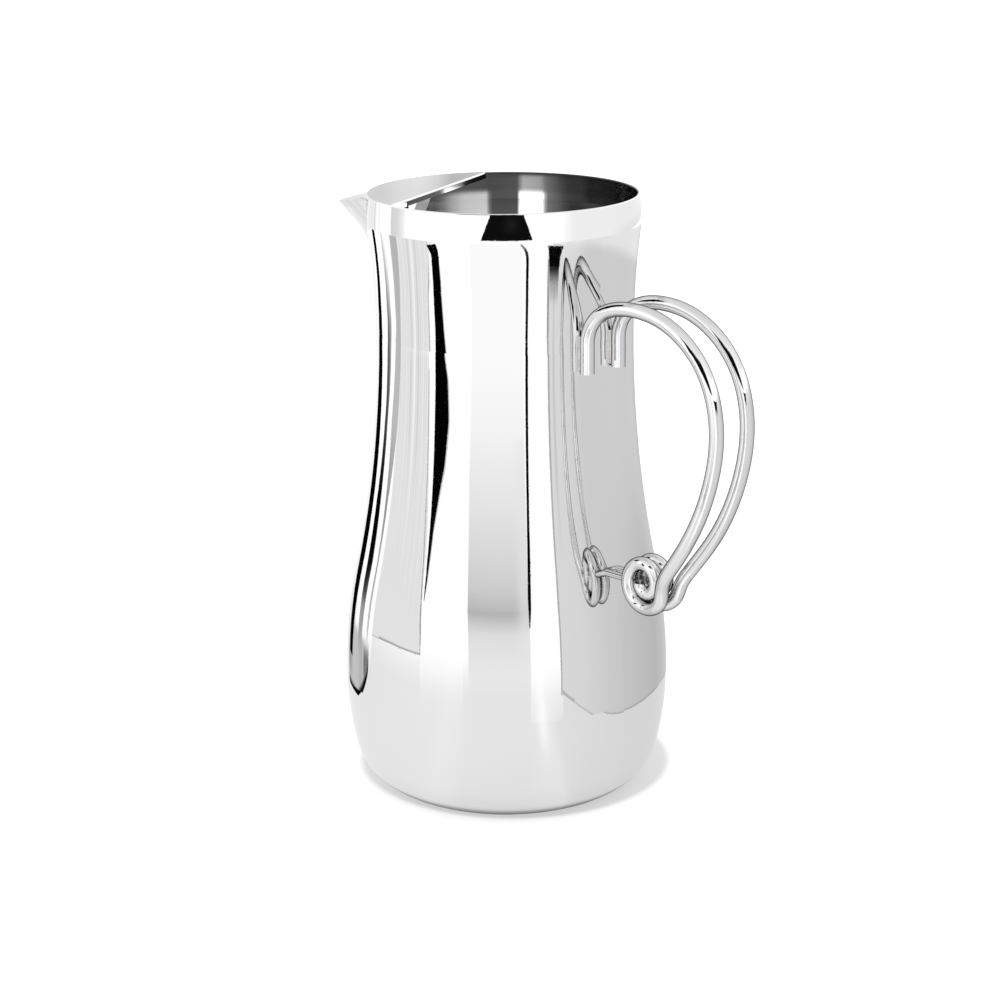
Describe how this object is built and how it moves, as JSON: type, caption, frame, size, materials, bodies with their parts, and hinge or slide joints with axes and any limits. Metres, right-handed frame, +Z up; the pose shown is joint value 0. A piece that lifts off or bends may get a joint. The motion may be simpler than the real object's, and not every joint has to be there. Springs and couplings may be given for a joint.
{
  "type": "water pitcher",
  "caption": "Tall waisted water pitcher in polished metal with a pointed pressed spout, a flat ice guard and a fixed rod handle with curled ends.",
  "frame": {"origin": "centre of the foot ring on the plane it rests on", "axes": "+Z up through the centre of the mouth; +X from the pitcher's axis toward the handle"},
  "size_m": [0.1758, 0.1232, 0.228],
  "materials": {
    "polished_body": "mirror polished silver outside, satin inside",
    "satin_base": "satin, turned",
    "polished_spout": "mirror polished silver",
    "polished_guard": "mirror polished silver",
    "polished_rod": "mirror polished silver rod",
    "solder": "silver solder, dressed",
    "polished_stud": "mirror polished silver"
  },
  "bodies": {
    "root": {"body_shell": "polished_body", "base_disc": "satin_base", "spout": "polished_spout", "ice_guard": "polished_guard", "handle_rod_left": "polished_rod", "handle_rod_right": "polished_rod", "upper_solder_left": "solder", "upper_solder_right": "solder", "lower_stud_left": "polished_stud", "lower_stud_right": "polished_stud"}
  },
  "joints": []
}
